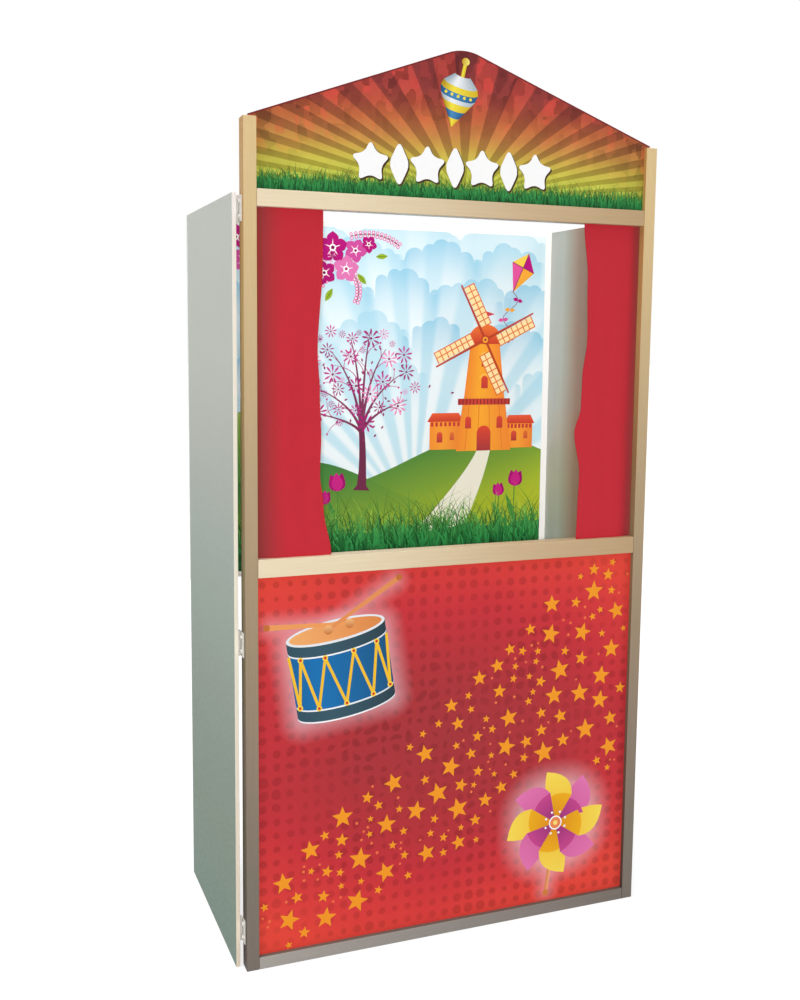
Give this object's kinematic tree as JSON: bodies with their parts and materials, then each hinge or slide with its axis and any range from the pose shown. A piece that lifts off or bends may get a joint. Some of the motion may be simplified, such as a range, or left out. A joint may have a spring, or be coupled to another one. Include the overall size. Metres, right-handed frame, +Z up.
{
  "type": "puppet theater stand",
  "caption": "Free-standing wooden puppet theater for children, with a gabled stage front, sliding curtains, hinged folding wings and a lift-off backdrop board.",
  "frame": {"origin": "on the floor, at the centre of the stand's footprint", "axes": "+Z up, +Y from the audience towards the backdrop, +X to the audience's right"},
  "size_m": [0.725, 0.3666, 1.426],
  "materials": {
    "frame_wood": "clear satin lacquer on pale beech",
    "dowel_wood": "raw beech",
    "wing_board": "satin grey laminate on thin board with raw wooden edges",
    "gable_print": "satin print of rays and grass on thin board",
    "panel_print": "satin red print with dots and stars on thin board",
    "backdrop_print": "satin print of a landscape on thin white board",
    "curtain_cloth": "plain red woven cloth",
    "track_metal": "anodised satin",
    "hinge_steel": "zinc-plated steel",
    "screw_steel": "zinc-plated steel",
    "magnet_nickel": "nickel-plated",
    "white_plastic": "moulded satin"
  },
  "bodies": {
    "front_frame": {"bottom_rail": "frame_wood", "middle_rail": "frame_wood", "upper_rail": "frame_wood", "left_post": "frame_wood", "right_post": "frame_wood", "pediment_board": "gable_print", "lower_front_panel": "panel_print", "curtain_track": "track_metal", "left_bottom_dowel": "dowel_wood", "left_middle_dowel": "dowel_wood", "left_upper_dowel": "dowel_wood", "right_bottom_dowel": "dowel_wood", "right_middle_dowel": "dowel_wood", "right_upper_dowel": "dowel_wood", "left_lower_hinge_post_leaf": "hinge_steel", "left_middle_hinge_post_leaf": "hinge_steel", "left_upper_hinge_post_leaf": "hinge_steel", "right_lower_hinge_post_leaf": "hinge_steel", "right_middle_hinge_post_leaf": "hinge_steel", "right_upper_hinge_post_leaf": "hinge_steel", "left_lower_hinge_pin": "hinge_steel", "left_middle_hinge_pin": "hinge_steel", "left_upper_hinge_pin": "hinge_steel", "right_lower_hinge_pin": "hinge_steel", "right_middle_hinge_pin": "hinge_steel", "right_upper_hinge_pin": "hinge_steel", "left_lower_hinge_screw_1": "screw_steel", "left_lower_hinge_screw_2": "screw_steel", "left_middle_hinge_screw_1": "screw_steel", "left_middle_hinge_screw_2": "screw_steel", "left_upper_hinge_screw_1": "screw_steel", "left_upper_hinge_screw_2": "screw_steel", "right_lower_hinge_screw_1": "screw_steel", "right_lower_hinge_screw_2": "screw_steel", "right_middle_hinge_screw_1": "screw_steel", "right_middle_hinge_screw_2": "screw_steel", "right_upper_hinge_screw_1": "screw_steel", "right_upper_hinge_screw_2": "screw_steel"},
    "left_wing": {"left_wing": "wing_board", "left_lower_hinge_wing_leaf": "hinge_steel", "left_middle_hinge_wing_leaf": "hinge_steel", "left_upper_hinge_wing_leaf": "hinge_steel", "left_backdrop_ledge": "hinge_steel", "left_wing_magnet": "magnet_nickel"},
    "right_wing": {"right_wing": "wing_board", "right_lower_hinge_wing_leaf": "hinge_steel", "right_middle_hinge_wing_leaf": "hinge_steel", "right_upper_hinge_wing_leaf": "hinge_steel", "right_backdrop_ledge": "hinge_steel", "right_wing_magnet": "magnet_nickel"},
    "backdrop": {"backdrop_board": "backdrop_print", "left_strike_plate": "hinge_steel", "right_strike_plate": "hinge_steel"},
    "left_curtain": {"left_curtain": "curtain_cloth", "left_curtain_glider_1": "white_plastic", "left_curtain_glider_2": "white_plastic"},
    "right_curtain": {"right_curtain": "curtain_cloth", "right_curtain_glider_1": "white_plastic", "right_curtain_glider_2": "white_plastic"}
  },
  "joints": [
    {"name": "left_wing_fold", "type": "hinge", "parent": "front_frame", "child": "left_wing", "pos_m": [-0.353, -0.1555, 0.52], "axis": [0, 0, -1], "range_deg": [0, 90]},
    {"name": "right_wing_fold", "type": "hinge", "parent": "front_frame", "child": "right_wing", "pos_m": [0.353, -0.1555, 0.52], "axis": [0, 0, 1], "range_deg": [0, 90]},
    {"name": "backdrop_lift", "type": "slide", "parent": "front_frame", "child": "backdrop", "axis": [0, 0, 1], "range_m": [0, 0.66]},
    {"name": "left_curtain_slide", "type": "slide", "parent": "front_frame", "child": "left_curtain", "axis": [1, 0, 0], "range_m": [0, 0.2]},
    {"name": "right_curtain_slide", "type": "slide", "parent": "front_frame", "child": "right_curtain", "axis": [-1, 0, 0], "range_m": [0, 0.2]}
  ]
}
